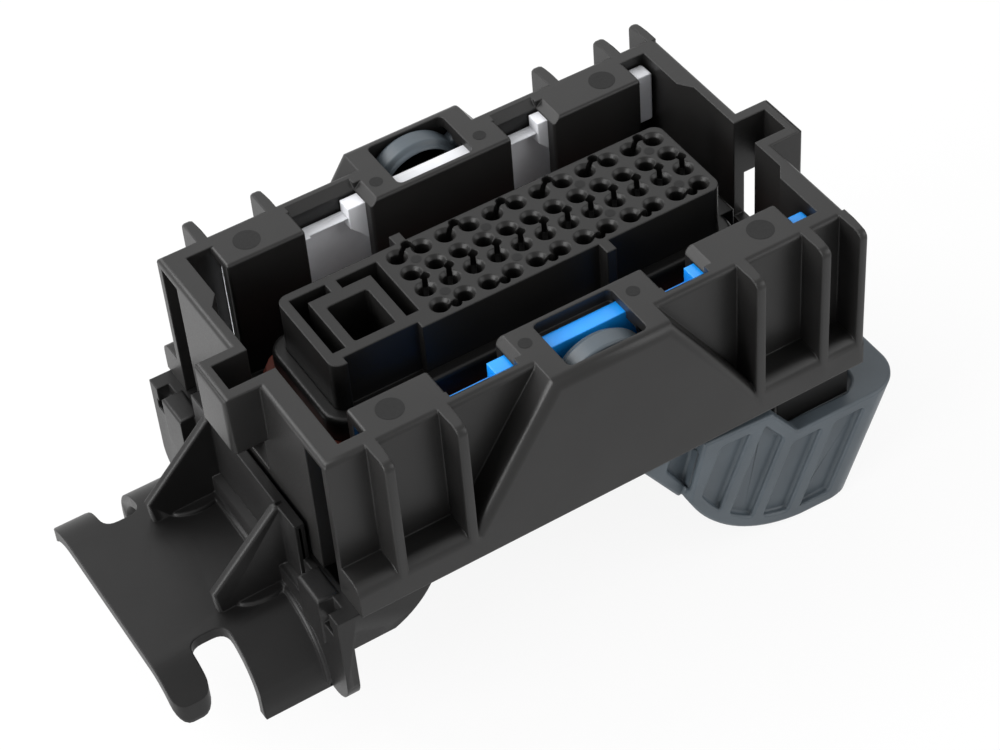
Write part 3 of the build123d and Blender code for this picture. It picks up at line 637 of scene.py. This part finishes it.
def wire_exit():
    """Arched wire exit that runs out into the notched tongue for a cable tie."""
    right = FLANGE_X + EXIT_LAP
    half = EXIT_FLAT + EXIT_R
    head = TONGUE_END + TONGUE_HEAD
    side = ((right, half + OVER), (EXIT_END, half + OVER), (EXIT_END, NOTCH_Y), (head, NOTCH_Y),
            (head, TONGUE_Y), (TONGUE_END, TONGUE_Y))
    plan = (*side, *[(x, -y) for x, y in reversed(side)])
    arch = prism(exit_outline(0, HOOD_DEPTH), "X", TONGUE_END - OVER, right)
    hollow = prism(exit_outline(-HOOD_WALL, HOOD_DEPTH + OVER), "X", TONGUE_END - 2 * OVER, right + OVER)
    trimmed = prism(rounded(plan, TONGUE_R), "Z", -HOOD_DEPTH - OVER, EXIT_Z + OVER)
    collar = prism(exit_outline(COLLAR_W, HOOD_DEPTH - COLLAR_LIFT), "X", FLANGE_X - COLLAR_W, right)
    soften(collar, COLLAR_W, at(0, FLANGE_X - COLLAR_W), 2)
    reach = half - HOOD_WALL + SINK
    plate = cuboid(EXIT_PLATE_X, right, -reach, reach, -HOOD_DEPTH, -HOOD_DEPTH + HOOD_WALL)
    return as_shape(carved(
        "exit", arch,
        ("INTERSECT", [trimmed]),
        ("UNION", [collar]),
        ("DIFFERENCE", [hollow]),
        ("UNION", [plate]),
    ))


def end_edge(a, b):
    """Accepts the top edges of the cover's end plate and its upright ones."""
    upright = abs(a.x - b.x) < NEAR and min(a.z, b.z) < EXIT_Z < max(a.z, b.z)
    return upright or at(2, END_TOP)(a, b)


def cover_mesh():
    """Wire cover with its exit, end plate, gussets and latch blocks as moulded."""
    past = END_TOP + OVER
    latch = soften(cuboid(*LATCH), EDGE_R, at(2, LATCH[5]))
    old_exit = cuboid(TONGUE_END - OVER, FLANGE_X + EXIT_SKIN, -HALF_L, HALF_L, -HALF_L, past)
    old_gusset = cuboid(EXIT_END, END_X[0], GUSSET_Y - GUSSET_T / 2, GUSSET_Y + GUSSET_T / 2, EXIT_Z, past)
    end = soften(cuboid(*END_X, -END_Y, END_Y, EXIT_Z - SINK, END_TOP), END_EDGE_R, end_edge)
    gussets = [*cover_gusset(-GUSSET_Y), *cover_gusset(GUSSET_Y)]
    return combine(
        "cover", node_shape("wire_cover"),
        ("DIFFERENCE", [old_exit, *both_sides(cuboid(*LATCH_CUT), cuboid(*KEY_CUT), old_gusset)]),
        ("UNION", [wire_exit(), end, *both_sides(latch), *gussets]),
    )


def lever_mesh():
    """Lever with the fifth pocket, which lies in its arm."""
    pocket = prism(ARM_POCKET, "Y", ARM_FACE_Y - GRIP_DEPTH, ARM_FACE_Y + OVER / 2)
    return combine("lever", node_shape("lever"), ("DIFFERENCE", both_sides(pocket)))


def mark_tree():
    """Geometry Nodes: a round mark of its own radius on each point, realised and given its material."""
    name = "Ejector marks"
    if name in bpy.data.node_groups:
        return bpy.data.node_groups[name]
    tree = bpy.data.node_groups.new(name, "GeometryNodeTree")
    tree.interface.new_socket(name="Geometry", in_out="INPUT", socket_type="NodeSocketGeometry")
    sides = tree.interface.new_socket(name="Sides", in_out="INPUT", socket_type="NodeSocketInt")
    sides.default_value = MARK_SIDES
    tree.interface.new_socket(name="Material", in_out="INPUT", socket_type="NodeSocketMaterial")
    tree.interface.new_socket(name="Geometry", in_out="OUTPUT", socket_type="NodeSocketGeometry")
    nodes, links = tree.nodes, tree.links
    entry = nodes.new("NodeGroupInput")
    leave = nodes.new("NodeGroupOutput")
    disc = nodes.new("GeometryNodeMeshCircle")
    disc.fill_type = "NGON"
    disc.inputs["Radius"].default_value = 1
    links.new(entry.outputs["Sides"], disc.inputs["Vertices"])
    radius = nodes.new("GeometryNodeInputNamedAttribute")
    radius.data_type = "FLOAT"
    radius.inputs["Name"].default_value = "mark_radius"
    spread = nodes.new("GeometryNodeInstanceOnPoints")
    links.new(entry.outputs["Geometry"], spread.inputs["Points"])
    links.new(disc.outputs["Mesh"], spread.inputs["Instance"])
    links.new(radius.outputs["Attribute"], spread.inputs["Scale"])
    real = nodes.new("GeometryNodeRealizeInstances")
    links.new(spread.outputs["Instances"], real.inputs["Geometry"])
    paint = nodes.new("GeometryNodeSetMaterial")
    links.new(real.outputs["Geometry"], paint.inputs["Geometry"])
    links.new(entry.outputs["Material"], paint.inputs["Material"])
    links.new(paint.outputs["Geometry"], leave.inputs["Geometry"])
    return tree


def ejector_marks(name, places, z, material):
    """Round marks at the given places and radii on a face at one height, riding on the connector."""
    mesh = bpy.data.meshes.new(name)
    corner = housing_middle()
    mesh.from_pydata([corner + Vector((x, y, z + MARK_RISE)) * MM for x, y, radius in places], [], [])
    sizes = mesh.attributes.new("mark_radius", "FLOAT", "POINT")
    for number, (x, y, radius) in enumerate(places):
        sizes.data[number].value = radius * MM
    maker = bpy.data.objects.new(name, mesh)
    bpy.context.scene.collection.objects.link(maker)
    tree = mark_tree()
    nodes = maker.modifiers.new("marks", "NODES")
    nodes.node_group = tree
    sockets = {item.name: item.identifier for item in tree.interface.items_tree if item.in_out == "INPUT"}
    nodes[sockets["Material"]] = material
    nodes[sockets["Sides"]] = MARK_SIDES
    graph = bpy.context.evaluated_depsgraph_get()
    flat = bpy.data.meshes.new_from_object(maker.evaluated_get(graph))
    bpy.data.objects.remove(maker)
    piece = bpy.data.objects.new(name, flat)
    bpy.context.scene.collection.objects.link(piece)
    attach(piece, "connector")


class ConnectorColours(bpy.types.PropertyGroup):
    """Colours of the connector's plastics and seals."""

    housing: bpy.props.FloatVectorProperty(
        name="Housing", description="Black glass-filled plastic of the housing",
        subtype="COLOR", size=3, min=0, max=1, default=(0.011, 0.0107, 0.0105))
    tower: bpy.props.FloatVectorProperty(
        name="Tower", description="Black plastic of the contact tower",
        subtype="COLOR", size=3, min=0, max=1, default=(0.009, 0.0088, 0.0086))
    cover: bpy.props.FloatVectorProperty(
        name="Wire cover", description="Black plastic of the wire cover",
        subtype="COLOR", size=3, min=0, max=1, default=(0.009, 0.0088, 0.0088))
    lever: bpy.props.FloatVectorProperty(
        name="Lever", description="Slate grey plastic of the lever",
        subtype="COLOR", size=3, min=0, max=1, default=(0.062, 0.077, 0.09))
    slider_front: bpy.props.FloatVectorProperty(
        name="Front slider", description="Blue plastic of the front slider",
        subtype="COLOR", size=3, min=0, max=1, default=(0.008, 0.31, 0.92))
    slider_rear: bpy.props.FloatVectorProperty(
        name="Rear slider", description="Uncoloured plastic of the rear slider",
        subtype="COLOR", size=3, min=0, max=1, default=(0.78, 0.79, 0.82))
    seal: bpy.props.FloatVectorProperty(
        name="Ring seal", description="Red-brown silicone of the ring seal",
        subtype="COLOR", size=3, min=0, max=1, default=(0.17, 0.035, 0.02))
    mat: bpy.props.FloatVectorProperty(
        name="Mat seal", description="Orange silicone of the mat seal",
        subtype="COLOR", size=3, min=0, max=1, default=(0.60, 0.16, 0.04))


class ConnectorFinish(bpy.types.PropertyGroup):
    """Sizes that the finishes share."""

    edge_radius: bpy.props.FloatProperty(
        name="Edge radius", description="Radius that the mould leaves on each edge",
        unit="LENGTH", min=0, default=0.22 * MM)
    grain_size: bpy.props.FloatProperty(
        name="Grain size", description="Width of one grain of the moulded surface",
        unit="LENGTH", min=0.00001, default=0.12 * MM)
    grain_depth: bpy.props.FloatProperty(
        name="Grain depth", description="Depth of the moulded grain",
        unit="LENGTH", min=0, default=0.006 * MM)


class ConnectorStage(bpy.types.PropertyGroup):
    """Floor, lamps and surroundings."""

    floor: bpy.props.FloatVectorProperty(
        name="Floor", description="Colour of the floor and the surroundings",
        subtype="COLOR", size=3, min=0, max=1, default=(1.0, 1.0, 1.0))
    left_power: bpy.props.FloatProperty(
        name="Left lamp", description="Power of the lamp behind at the left",
        unit="POWER", min=0, default=2.1)
    front_power: bpy.props.FloatProperty(
        name="Front lamp", description="Power of the lamp at the front right",
        unit="POWER", min=0, default=0.9)
    end_power: bpy.props.FloatProperty(
        name="End lamp", description="Power of the lamp beyond the wire exit",
        unit="POWER", min=0, default=3.1)
    right_power: bpy.props.FloatProperty(
        name="Right lamp", description="Power of the lamp behind at the right",
        unit="POWER", min=0, default=0.35)
    surroundings: bpy.props.FloatProperty(
        name="Surroundings", description="Strength of the light from all round", min=0, default=0.5)


def group_socket(tree, name, in_out, kind, default=None, low=None, high=None):
    """Adds one named socket to a node group."""
    socket = tree.interface.new_socket(name=name, in_out=in_out, socket_type=kind)
    if default is not None:
        socket.default_value = default
    if low is not None:
        socket.min_value = low
    if high is not None:
        socket.max_value = high


def maths(tree, operation, *values):
    """Adds a Math node whose inputs are sockets or numbers, and gives its output."""
    node = tree.nodes.new("ShaderNodeMath")
    node.operation = operation
    for entry, value in zip(node.inputs, values):
        if isinstance(value, bpy.types.NodeSocket):
            tree.links.new(value, entry)
        else:
            entry.default_value = value
    return node.outputs[0]


def moulded_grain_group():
    """Shader group: fine moulded grain, soft mottling of colour and roughness on Object coordinates."""
    name = "Moulded grain"
    if name in bpy.data.node_groups:
        return bpy.data.node_groups[name]
    tree = bpy.data.node_groups.new(name, "ShaderNodeTree")
    group_socket(tree, "Colour", "INPUT", "NodeSocketColor", (0.02, 0.02, 0.02, 1))
    group_socket(tree, "Grain size", "INPUT", "NodeSocketFloat", 0.12 * MM)
    group_socket(tree, "Mottling", "INPUT", "NodeSocketFloat", MOTTLING, 0, 1)
    group_socket(tree, "Roughness", "INPUT", "NodeSocketFloat", HOUSING_GLOSS[0], 0, 1)
    group_socket(tree, "Roughness spread", "INPUT", "NodeSocketFloat", ROUGHNESS_SPREAD, 0, 1)
    group_socket(tree, "Colour", "OUTPUT", "NodeSocketColor")
    group_socket(tree, "Roughness", "OUTPUT", "NodeSocketFloat")
    group_socket(tree, "Height", "OUTPUT", "NodeSocketFloat")
    nodes, links = tree.nodes, tree.links
    entry = nodes.new("NodeGroupInput")
    leave = nodes.new("NodeGroupOutput")
    place = nodes.new("ShaderNodeTexCoord")
    grain = nodes.new("ShaderNodeTexNoise")
    grain.inputs["Detail"].default_value = GRAIN_DETAIL
    links.new(place.outputs["Object"], grain.inputs["Vector"])
    links.new(maths(tree, "DIVIDE", 1, entry.outputs["Grain size"]), grain.inputs["Scale"])
    patches = nodes.new("ShaderNodeTexNoise")
    patches.inputs["Scale"].default_value = 1 / PATCH_SIZE
    patches.inputs["Detail"].default_value = PATCH_DETAIL
    links.new(place.outputs["Object"], patches.inputs["Vector"])
    shade = nodes.new("ShaderNodeMapRange")
    links.new(patches.outputs["Fac"], shade.inputs["Value"])
    shade.inputs["From Min"].default_value, shade.inputs["From Max"].default_value = PATCH_RANGE
    links.new(maths(tree, "SUBTRACT", 1, entry.outputs["Mottling"]), shade.inputs["To Min"])
    links.new(maths(tree, "ADD", 1, entry.outputs["Mottling"]), shade.inputs["To Max"])
    tint = nodes.new("ShaderNodeVectorMath")
    tint.operation = "SCALE"
    links.new(entry.outputs["Colour"], tint.inputs[0])
    links.new(shade.outputs["Result"], tint.inputs["Scale"])
    links.new(tint.outputs["Vector"], leave.inputs["Colour"])
    swing = maths(tree, "SUBTRACT", grain.outputs["Fac"], 0.5)
    spread = entry.outputs["Roughness spread"]
    rough = maths(tree, "MULTIPLY_ADD", swing, spread, entry.outputs["Roughness"])
    links.new(rough, leave.inputs["Roughness"])
    links.new(grain.outputs["Fac"], leave.inputs["Height"])
    return tree


def moulded_material(name, colour, gloss, grain_size, grain_depth, edge_radius):
    """A moulded plastic or rubber with rounded edges, grain and mottling."""
    roughness, specular = gloss
    material = bpy.data.materials.new(name)
    material.use_nodes = True
    nodes, links = material.node_tree.nodes, material.node_tree.links
    shader = nodes["Principled BSDF"]
    shader.inputs["Specular IOR Level"].default_value = specular
    grain = nodes.new("ShaderNodeGroup")
    grain.node_tree = moulded_grain_group()
    grain.inputs["Colour"].default_value = (*colour, 1)
    grain.inputs["Grain size"].default_value = grain_size
    grain.inputs["Mottling"].default_value = MOTTLING
    grain.inputs["Roughness"].default_value = roughness
    grain.inputs["Roughness spread"].default_value = ROUGHNESS_SPREAD
    links.new(grain.outputs["Colour"], shader.inputs["Base Color"])
    links.new(grain.outputs["Roughness"], shader.inputs["Roughness"])
    rounding = nodes.new("ShaderNodeBevel")
    rounding.samples = 6
    rounding.inputs["Radius"].default_value = edge_radius
    bump = nodes.new("ShaderNodeBump")
    bump.inputs["Strength"].default_value = 1
    bump.inputs["Distance"].default_value = grain_depth
    links.new(grain.outputs["Height"], bump.inputs["Height"])
    links.new(rounding.outputs["Normal"], bump.inputs["Normal"])
    links.new(bump.outputs["Normal"], shader.inputs["Normal"])
    return material


def mark_material():
    """Dull dark plastic of the ejector marks."""
    name = "Ejector mark"
    if name in bpy.data.materials:
        return bpy.data.materials[name]
    return moulded_material(name, MARK_COLOUR, MARK_GLOSS, *MARK_FINISH)


def put_on(node, material):
    """Gives a CAD node its material."""
    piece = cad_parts[node]
    piece.data.materials.clear()
    piece.data.materials.append(material)
    for face in piece.data.polygons:
        face.material_index = 0


def finish_values(context):
    """Values of the shared finish."""
    finish = context.scene.connector_finish
    return finish.grain_size, finish.grain_depth, finish.edge_radius


class DressHousing(bpy.types.Operator):
    """Finishes the outer housing in black glass-filled plastic"""

    bl_idname = "connector.dress_housing"
    bl_label = "Housing"

    def execute(self, context):
        colour = context.scene.connector_colours.housing
        material = moulded_material("Housing plastic", colour, HOUSING_GLOSS, *finish_values(context))
        stand_in("outer_housing", "connector", housing_mesh(), material)
        places = [(x, side * y, radius) for x, y, radius in HOUSING_MARKS for side in (-1, 1)]
        ejector_marks("housing_marks", places, HOUSING_H, mark_material())
        return {"FINISHED"}


class DressTower(bpy.types.Operator):
    """Finishes the contact tower, its collar, lock and grid in black plastic"""

    bl_idname = "connector.dress_tower"
    bl_label = "Contact tower"

    def execute(self, context):
        colour = context.scene.connector_colours.tower
        material = moulded_material("Tower plastic", colour, TOWER_GLOSS, *finish_values(context))
        for node in ("terminal_tower", "secondary_lock", "mat_seal_cover"):
            put_on(node, material)
        stand_in("ring_seal_retainer", "connector", collar_mesh(), material)
        places = [(x, y, TOWER_MARK_R) for x, y in TOWER_MARKS]
        ejector_marks("tower_marks", places, TOWER_TOP, mark_material())
        return {"FINISHED"}


class DressSeals(bpy.types.Operator):
    """Finishes the ring seal and the mat seal in silicone"""

    bl_idname = "connector.dress_seals"
    bl_label = "Seals"

    def execute(self, context):
        colours = context.scene.connector_colours
        values = finish_values(context)
        material = moulded_material("Ring seal silicone", colours.seal, RING_SEAL_GLOSS, *values)
        stand_in("ring_seal", "connector", seal_mesh(), material)
        put_on("mat_seal", moulded_material("Mat seal silicone", colours.mat, MAT_SEAL_GLOSS, *values))
        return {"FINISHED"}


class DressSliders(bpy.types.Operator):
    """Finishes the two cam sliders in blue and in uncoloured plastic"""

    bl_idname = "connector.dress_sliders"
    bl_label = "Sliders"

    def execute(self, context):
        colours = context.scene.connector_colours
        values = finish_values(context)
        blue = moulded_material("Blue slider plastic", colours.slider_front, SLIDER_GLOSS, *values)
        stand_in("slider_front", "slider_front", slider_mesh(-1), blue)
        natural = moulded_material("Natural slider plastic", colours.slider_rear, SLIDER_GLOSS, *values)
        stand_in("slider_rear", "slider_rear", slider_mesh(1), natural)
        return {"FINISHED"}


class DressLever(bpy.types.Operator):
    """Finishes the lever in slate grey plastic"""

    bl_idname = "connector.dress_lever"
    bl_label = "Lever"

    def execute(self, context):
        colour = context.scene.connector_colours.lever
        material = moulded_material("Lever plastic", colour, LEVER_GLOSS, *finish_values(context))
        stand_in("lever", "lever", lever_mesh(), material, LEVER_ROUNDING * MM)
        return {"FINISHED"}


class DressCover(bpy.types.Operator):
    """Finishes the wire cover in black plastic"""

    bl_idname = "connector.dress_cover"
    bl_label = "Wire cover"

    def execute(self, context):
        colour = context.scene.connector_colours.cover
        material = moulded_material("Cover plastic", colour, COVER_GLOSS, *finish_values(context))
        stand_in("wire_cover", "connector", cover_mesh(), material)
        return {"FINISHED"}


def area_lamp(name, place, target, power):
    """A square lamp that faces the target."""
    lamp = bpy.data.lights.new(name, "AREA")
    lamp.size = LAMP_SIZE
    lamp.energy = power
    obj = bpy.data.objects.new(name, lamp)
    bpy.context.scene.collection.objects.link(obj)
    obj.location = place
    obj.rotation_mode = "QUATERNION"
    obj.rotation_quaternion = (target - place).to_track_quat("-Z", "Y")


def seen_rays(tree):
    """Socket that is 1 for rays from the camera, mirrored rays and rays through clear pieces."""
    path = tree.nodes.new("ShaderNodeLightPath")
    mirrored_or_seen = maths(tree, "MAXIMUM", path.outputs["Is Camera Ray"], path.outputs["Is Glossy Ray"])
    return maths(tree, "MAXIMUM", mirrored_or_seen, path.outputs["Is Transmission Ray"])


def floor_material(colour):
    """Pale floor that shows white to the camera and keeps a soft shadow."""
    material = bpy.data.materials.new("Floor")
    material.use_nodes = True
    nodes, links = material.node_tree.nodes, material.node_tree.links
    shader = nodes["Principled BSDF"]
    shader.inputs["Base Color"].default_value = (*(FLOOR_SHADE * c for c in colour), 1)
    shader.inputs["Roughness"].default_value = FLOOR_ROUGHNESS
    glow = nodes.new("ShaderNodeEmission")
    glow.inputs["Color"].default_value = (*colour, 1)
    mix = nodes.new("ShaderNodeMixShader")
    share = maths(material.node_tree, "MULTIPLY", seen_rays(material.node_tree), FLOOR_GLOW)
    links.new(share, mix.inputs["Fac"])
    links.new(shader.outputs["BSDF"], mix.inputs[1])
    links.new(glow.outputs["Emission"], mix.inputs[2])
    links.new(mix.outputs["Shader"], nodes["Material Output"].inputs["Surface"])
    return material


class BuildStage(bpy.types.Operator):
    """Puts in the floor, the lamps, the surroundings and the camera"""

    bl_idname = "connector.build_stage"
    bl_label = "Stage"

    def execute(self, context):
        stage = context.scene.connector_stage
        mesh = bpy.data.meshes.new("floor")
        half = FLOOR_HALF
        z = CAD_LOW.z - FLOOR_DROP
        corners = [(-half, -half, z), (half, -half, z), (half, half, z), (-half, half, z)]
        mesh.from_pydata(corners, [], [(0, 1, 2, 3)])
        floor = bpy.data.objects.new("floor", mesh)
        context.scene.collection.objects.link(floor)
        mesh.materials.append(floor_material(stage.floor))
        middle = (CAD_LOW + CAD_HIGH) / 2
        for name, place in LAMPS.items():
            area_lamp(name, middle + Vector(place), middle, getattr(stage, name + "_power"))
        world = bpy.data.worlds.new("Surroundings")
        context.scene.world = world
        world.use_nodes = True
        nodes, links = world.node_tree.nodes, world.node_tree.links
        ground = nodes["Background"]
        ground.inputs["Color"].default_value = (*stage.floor, 1)
        strength = nodes.new("ShaderNodeMapRange")
        links.new(seen_rays(world.node_tree), strength.inputs["Value"])
        strength.inputs["To Min"].default_value = stage.surroundings
        strength.inputs["To Max"].default_value = 1.0
        links.new(strength.outputs["Result"], ground.inputs["Strength"])
        self.add_camera(context)
        context.scene.view_settings.view_transform = "Standard"
        return {"FINISHED"}

    def add_camera(self, context):
        """Camera at the photograph's angle and distance."""
        data = bpy.data.cameras.new("camera")
        data.lens = CAMERA_LENS
        data.shift_x, data.shift_y = CAMERA_SHIFT
        data.clip_start = CAMERA_NEAR
        camera = bpy.data.objects.new("camera", data)
        context.scene.collection.objects.link(camera)
        back = -CAMERA_FORWARD.normalized()
        right = CAMERA_RIGHT.normalized()
        up = back.cross(right)
        turn = Matrix((right, up, back)).transposed().to_4x4()
        camera.matrix_world = Matrix.Translation(housing_middle() + CAMERA_FROM_HOUSING) @ turn
        context.scene.camera = camera


class ConnectorPanel(bpy.types.Panel):
    """Sizes, colours and pieces of the connector"""

    bl_idname = "VIEW3D_PT_connector"
    bl_label = "Connector"
    bl_space_type = "VIEW_3D"
    bl_region_type = "UI"
    bl_category = "Connector"

    def draw(self, context):
        for group in GROUPS:
            values = getattr(context.scene, group)
            for key in values.bl_rna.properties.keys():
                if key not in ("rna_type", "name"):
                    self.layout.prop(values, key)
        for operator in OPERATORS:
            self.layout.operator(operator.bl_idname)


GROUPS = {
    "connector_colours": ConnectorColours,
    "connector_finish": ConnectorFinish,
    "connector_stage": ConnectorStage,
}
OPERATORS = (DressHousing, DressTower, DressSeals, DressSliders, DressLever, DressCover, BuildStage)


def register():
    """Registers the classes and hangs the values on the scene."""
    for group, kind in GROUPS.items():
        bpy.utils.register_class(kind)
        setattr(bpy.types.Scene, group, bpy.props.PointerProperty(type=kind))
    for kind in (*OPERATORS, ConnectorPanel):
        bpy.utils.register_class(kind)


def unregister():
    """Takes everything off again."""
    for kind in reversed((*OPERATORS, ConnectorPanel)):
        bpy.utils.unregister_class(kind)
    for group, kind in reversed(GROUPS.items()):
        delattr(bpy.types.Scene, group)
        bpy.utils.unregister_class(kind)


def main():
    """Builds the whole scene."""
    register()
    for operator in OPERATORS:
        section, name = operator.bl_idname.split(".")
        getattr(getattr(bpy.ops, section), name)()


if __name__ == "__main__":
    main()
